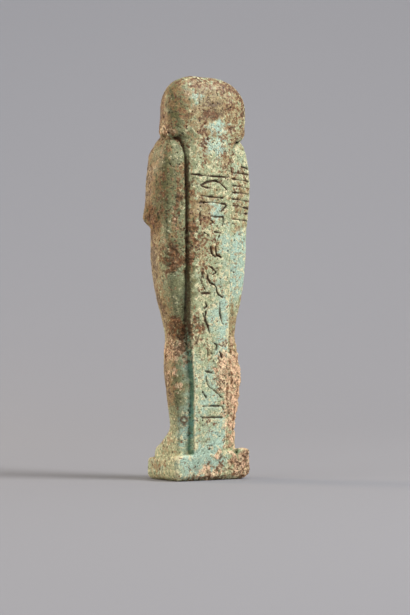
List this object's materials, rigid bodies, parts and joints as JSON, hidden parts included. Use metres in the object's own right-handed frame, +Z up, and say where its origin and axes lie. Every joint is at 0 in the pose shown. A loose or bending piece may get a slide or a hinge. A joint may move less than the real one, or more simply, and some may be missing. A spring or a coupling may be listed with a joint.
{
  "type": "ushabti figurine",
  "caption": "Mummiform faience servant figure with tripartite wig, crossed arms and hatched seed bag, in one piece with its marked back pillar and low base.",
  "frame": {"origin": "centre of the underside of the low base, which is the plane z = 0", "axes": "+Z up along the figure; the figure faces -Y and its back pillar's face is towards +Y; +X is towards the figure's left side"},
  "size_m": [0.0282, 0.0186, 0.1044],
  "materials": {
    "faience": "worn pale turquoise glaze, satin to matt, with rust-brown crust and fine dark pits"
  },
  "bodies": {
    "root": {"ushabti_figure": "faience"}
  },
  "joints": []
}
